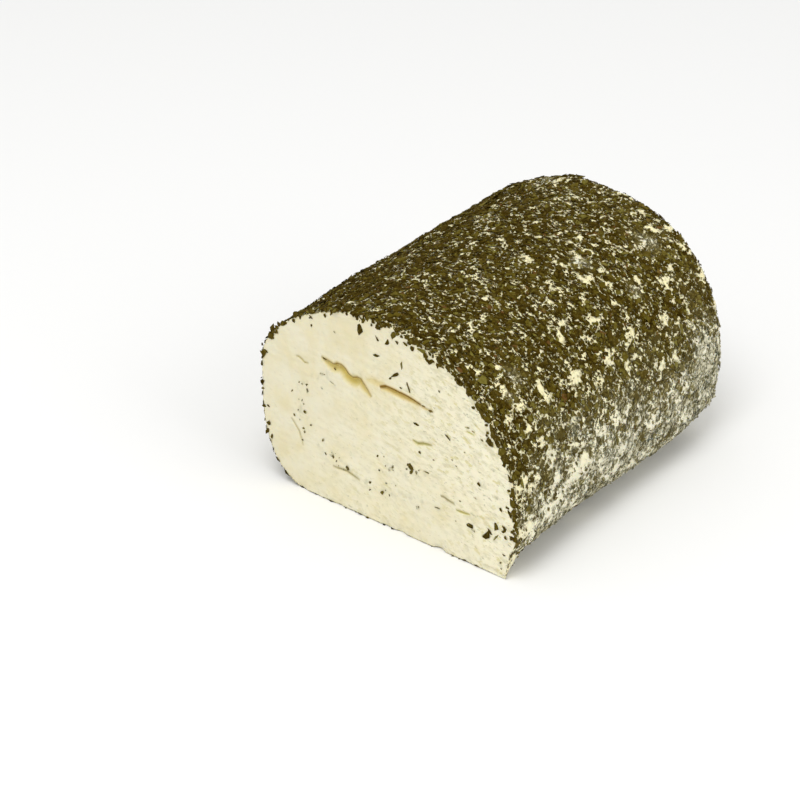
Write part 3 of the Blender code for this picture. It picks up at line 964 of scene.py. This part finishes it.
def flake_mesh(name, spots, normals, lengths, widths, turns, tilts, looks, corners, thickness, bend, draw):
    """Joined flakes: each is a plate with uneven corners that bends and curls, bedded at its own spot."""
    count = len(spots)
    wander = draw.uniform(-CORNER_WANDER, CORNER_WANDER, (count, corners))
    angle = np.arange(corners) / corners * 2 * math.pi + wander
    reach = draw.uniform(*CORNER_REACH, (count, corners))
    across = np.cos(angle) * reach
    aside = np.sin(angle) * reach
    x, y = across * lengths[:, None] / 2, aside * widths[:, None] / 2
    fold = draw.normal(0, FOLD, (count, 1)) * np.abs(y)
    curl = draw.normal(0, CURL, (count, 1)) * across**2 * lengths[:, None] / 2
    twist = draw.normal(0, TWIST, (count, 1)) * across * aside * lengths[:, None] / 2
    rim = bend * (fold + curl + twist)
    middle = np.zeros((count, 1))
    x, y = np.hstack((middle, x)), np.hstack((middle, y))
    z = np.hstack((rim.mean(axis=1, keepdims=True) + thickness, rim))

    helper = np.where(np.abs(normals[:, 2:]) < 0.9, [[0.0, 0.0, 1.0]], [[0.0, 1.0, 0.0]])
    side = np.cross(helper, normals)
    side /= np.linalg.norm(side, axis=1, keepdims=True)
    other = np.cross(normals, side)
    cos_turn, sin_turn = np.cos(turns)[:, None], np.sin(turns)[:, None]
    axis_x = side * cos_turn + other * sin_turn
    axis_y = other * cos_turn - side * sin_turn
    lean_x, lean_y = tilts
    axis_x, up = axis_x + normals * lean_x[:, None], normals - axis_x * lean_x[:, None]
    axis_y, up = axis_y + up * lean_y[:, None], up - axis_y * lean_y[:, None]
    points = (
        spots[:, None, :]
        + x[:, :, None] * axis_x[:, None, :]
        + y[:, :, None] * axis_y[:, None, :]
        + z[:, :, None] * up[:, None, :]
    )
    points[:, :, 2] = np.maximum(points[:, :, 2], 0.0)

    ring = [1 + corner for corner in range(corners)]
    tops = [(0, a, b) for a, b in zip(ring, ring[1:] + ring[:1])]
    under = [tuple(reversed(ring))]
    each = 1 + corners
    faces = [
        tuple(vertex + flake * each for vertex in face)
        for flake in range(count)
        for face in tops + under
    ]
    mesh = bpy.data.meshes.new(name)
    mesh.from_pydata(points.reshape(-1, 3).tolist(), [], faces)

    cells = math.ceil(math.sqrt(count))
    column, row = np.arange(count) % cells, np.arange(count) // cells
    u = (column[:, None] + 0.5 + CELL_REACH * np.hstack((middle, across))) / cells
    v = (row[:, None] + 0.5 + CELL_REACH * np.hstack((middle, aside))) / cells
    where = np.stack((u, v), axis=2).reshape(-1, 2)
    used = np.empty(len(mesh.loops), dtype=np.int64)
    mesh.loops.foreach_get("vertex_index", used)
    layer = mesh.uv_layers.new(name="OFBake")
    layer.uv.foreach_set("vector", where[used].astype(np.float32).ravel())
    for label, values in looks.items():
        stored = mesh.attributes.new(label, "FLOAT", "POINT")
        stored.data.foreach_set("value", np.repeat(values, each).astype(np.float32))
    return mesh


def face_depth(skin, x, z):
    """How far back the cut face lies at a point. Just outside its rim it's the plain cut."""
    plane = cut_plane(x)
    hit = skin.ray_cast(Vector((x, -RAY_START, z)) + FACE_TO_ORIGIN, Vector((0.0, 1.0, 0.0)))[0]
    depth = hit.y - FACE_TO_ORIGIN.y if hit else plane
    return depth if abs(depth - plane) < FACE_RELIEF_MOST else plane


def cut_normal():
    return Vector((CUT_SKEW, -1.0, 0.0)).normalized()


# ---- operators ----


class CHEESE_OT_body(Operator):
    """Builds the cream cheese with its cut face, crevices and far end"""

    bl_idname = "cheese.body"
    bl_label = "Cream Cheese Body"

    def execute(self, context):
        sizes = context.scene.cheese_sizes
        body = subdivided_cage(sizes)
        layers = [body.verts.layers.float.new(name) for name in LOOKS]
        for vertex in body.verts:
            vertex.co, looks = log_point(vertex.co, sizes)
            for layer, value in zip(layers, looks):
                vertex[layer] = value
        bmesh.ops.triangulate(body, faces=[face for face in body.faces if len(face.verts) > 4])
        mesh = bpy.data.meshes.new("cheese_body")
        body.to_mesh(mesh)
        body.free()
        mesh.shade_smooth()
        finished("cheese_body", mesh, cheese_finish(context.scene.cheese_colours), NODE)
        return {"FINISHED"}


class CHEESE_OT_coat(Operator):
    """Scatters the layers of dried leaf flakes and crumbs over the coat"""

    bl_idname = "cheese.coat"
    bl_label = "Herb Coat"

    def execute(self, context):
        settings = context.scene.cheese_herbs
        sizes = context.scene.cheese_sizes
        cheese = bpy.data.objects["cheese_body"]
        leaf = leaf_finish(context.scene.cheese_colours)
        for seed, (name, share, length, corners, lift, tilt, off_cream) in enumerate(COAT_LAYERS, 5):
            draw = np.random.default_rng(seed)
            wanted = int(settings.flakes * share)
            spots, normals, veil = coat_samples(cheese, wanted, off_cream, settings, sizes, draw)
            count = len(spots)
            lengths = settings.flake_length * length * np.clip(draw.lognormal(0, 0.32, count), 0.45, 2.1)
            widths = lengths * draw.uniform(0.45, 1.0, count)
            spots = spots + normals * (lift + draw.uniform(-0.05, 0.2, count))[:, None] * MM
            tilts = draw.normal(0, tilt, (2, count))
            looks = {"tint": dealt_tints(count, draw), "veil": veil * draw.uniform(0.55, 1.0, count)}
            turns = draw.uniform(0, 2 * math.pi, count)
            thickness = settings.flake_thickness * length**0.5
            mesh = flake_mesh(
                name, spots, normals, lengths, widths, turns, tilts, looks, corners, thickness, 1.0, draw
            )
            finished(name, mesh, leaf)
        return {"FINISHED"}


class CHEESE_OT_face_herbs(Operator):
    """Lays the herbs of the cut face: those along the seam, and those that the knife pulled off the rim"""

    bl_idname = "cheese.face_herbs"
    bl_label = "Cut Face Herbs"

    def execute(self, context):
        settings = context.scene.cheese_herbs
        sizes = context.scene.cheese_sizes
        draw = np.random.default_rng(21)
        rows = []
        for x, z, long, wide, turn, veil, tint in FACE_HERBS:
            length, width = HERB_GROWTH * long * MM, HERB_GROWTH * wide * MM
            rows.append((x * MM, z * MM, length, width, math.radians(turn), veil, tint))
        rows += self.seam_rows(settings.seam_herbs, draw)
        rows += self.rim_rows(settings.rim_herbs, sizes, draw)
        x, z, lengths, widths, turns, veil, tint = (np.array(column) for column in zip(*rows))
        skin = BVHTree.FromObject(bpy.data.objects["cheese_body"], context.evaluated_depsgraph_get())
        depths = np.array([face_depth(skin, across, up) for across, up in zip(x, z)])
        spots = np.stack((x, depths - HERB_LIFT, z), axis=1)
        count = len(rows)
        normals = np.repeat([tuple(cut_normal())], count, axis=0)
        tilts = draw.normal(0, 0.05, (2, count))
        looks = {"tint": tint, "veil": veil}
        mesh = flake_mesh(
            "cut_face_herbs", spots, normals, lengths, widths, turns, tilts, looks,
            HERB_CORNERS, HERB_THICKNESS, HERB_BEND, draw,
        )
        finished("cut_face_herbs", mesh, bpy.data.materials["dried_herb_leaf"])
        return {"FINISHED"}

    def seam_rows(self, count, draw):
        """Herbs along the winding seam, on its left and lower parts."""
        rows = []
        for along in draw.random(count * 2):
            x, z = seam_spot(along) + draw.normal(0, SEAM_WANDER, 2)
            size = SEAM_HERB_SIZE * min(draw.lognormal(0, 0.5), SEAM_HERB_MOST)
            width = size * draw.uniform(0.4, 0.9)
            if x < SEAM_EDGE and z < SEAM_TOP and len(rows) < count:
                looks = (draw.uniform(0.05, 0.9), draw.uniform(0.05, 0.6))
                rows.append((x, z, size, width, draw.uniform(0, math.pi), *looks))
        return rows

    def rim_rows(self, count, sizes, draw):
        """Flakes just inside the rim of the cut, more of them at the top right."""
        rows = []
        core = Vector((0.0, CORE_SHARE * sizes.height))
        while len(rows) < count:
            angle = draw.uniform(-0.6, math.pi + 0.5)
            if draw.random() > 0.25 + 0.75 * smooth(2.3, 1.3, angle):
                continue
            edge = section_point(angle, sizes, 0.0)
            clump = 0.5 + noise.noise(Vector((edge.x, edge.y, 0.0)) / CLUMP_SIZE)
            spread = draw.exponential(max(CLUMP_SPREAD * clump, CLUMP_LEAST))
            place = edge + (core - edge).normalized() * spread * MM
            size = RIM_FLAKE_SIZE * min(draw.lognormal(0, 0.35), RIM_FLAKE_MOST)
            if place.y > RIM_LOWEST:
                width, turn = size * draw.uniform(0.5, 0.95), draw.uniform(0, math.pi)
                rows.append((place.x, place.y, size, width, turn, 0.1, draw.uniform(0.05, 0.5)))
        return rows


class CHEESE_OT_studio(Operator):
    """Sets the floor, the lights and the camera"""

    bl_idname = "cheese.studio"
    bl_label = "Studio"

    def execute(self, context):
        scene = context.scene
        studio = scene.cheese_studio
        scene.view_settings.view_transform = "Standard"
        plane = bmesh.new()
        bmesh.ops.create_grid(plane, x_segments=8, y_segments=8, size=FLOOR_HALF)
        mesh = bpy.data.meshes.new("floor")
        plane.to_mesh(mesh)
        plane.free()
        mesh.transform(Matrix.Translation((0, 0, -FLOOR_DROP)))
        shop = Shop("plain_floor", roughness=0.9, specular=0.1)
        mesh.materials.append(shop.finish(studio.floor))
        floor = bpy.data.objects.new("floor", mesh)
        scene.collection.objects.link(floor)

        world = bpy.data.worlds.new("soft_sky")
        world.use_nodes = True
        sky = world.node_tree.nodes["Background"]
        sky.inputs["Color"].default_value = (1, 1, 1, 1)
        sky.inputs["Strength"].default_value = studio.sky
        scene.world = world

        self.add_light("key", KEY_PLACE, KEY_SIZE, studio.key_power)
        self.add_light("fill", FILL_PLACE, FILL_SIZE, studio.fill_power)

        data = bpy.data.cameras.new("camera")
        data.lens = VIEW_LENS
        data.sensor_width = 36.0
        data.clip_start, data.clip_end = 0.01, 20
        camera = bpy.data.objects.new("camera", data)
        back = Vector(
            (
                math.sin(VIEW_AZIMUTH) * math.cos(VIEW_ELEVATION),
                -math.cos(VIEW_AZIMUTH) * math.cos(VIEW_ELEVATION),
                math.sin(VIEW_ELEVATION),
            )
        )
        camera.location = VIEW_TARGET + back * VIEW_DISTANCE
        camera.rotation_euler = (-back).to_track_quat("-Z", "Y").to_euler()
        scene.collection.objects.link(camera)
        scene.camera = camera
        return {"FINISHED"}

    def add_light(self, name, place, size, power):
        data = bpy.data.lights.new(name, "AREA")
        data.shape = "DISK"
        data.size = size
        data.energy = power
        light = bpy.data.objects.new(name, data)
        light.location = place
        light.rotation_euler = (LIT_POINT - Vector(place)).to_track_quat("-Z", "Y").to_euler()
        bpy.context.scene.collection.objects.link(light)


class CHEESE_PT_panel(Panel):
    """Lists the steps that build the log"""

    bl_idname = "CHEESE_PT_panel"
    bl_label = "Herb Cheese Log"
    bl_space_type = "VIEW_3D"
    bl_region_type = "UI"
    bl_category = "Cheese Log"

    def draw(self, context):
        scene = context.scene
        for group in (scene.cheese_sizes, scene.cheese_herbs, scene.cheese_colours, scene.cheese_studio):
            box = self.layout.box()
            for name in group.__annotations__:
                box.prop(group, name)
        for step in STEPS:
            self.layout.operator(step.bl_idname)


SETTINGS = (
    ("cheese_sizes", CheeseSizes),
    ("cheese_herbs", HerbSettings),
    ("cheese_colours", CheeseColours),
    ("cheese_studio", StudioSettings),
)
STEPS = (CHEESE_OT_body, CHEESE_OT_coat, CHEESE_OT_face_herbs, CHEESE_OT_studio)


def register():
    for name, group in SETTINGS:
        bpy.utils.register_class(group)
        setattr(bpy.types.Scene, name, PointerProperty(type=group))
    for made in (*STEPS, CHEESE_PT_panel):
        bpy.utils.register_class(made)


def unregister():
    for made in (CHEESE_PT_panel, *reversed(STEPS)):
        bpy.utils.unregister_class(made)
    for name, group in reversed(SETTINGS):
        delattr(bpy.types.Scene, name)
        bpy.utils.unregister_class(group)


def main():
    register()
    bpy.ops.cheese.body()
    bpy.ops.cheese.coat()
    bpy.ops.cheese.face_herbs()
    bpy.ops.cheese.studio()


if __name__ == "__main__":
    main()
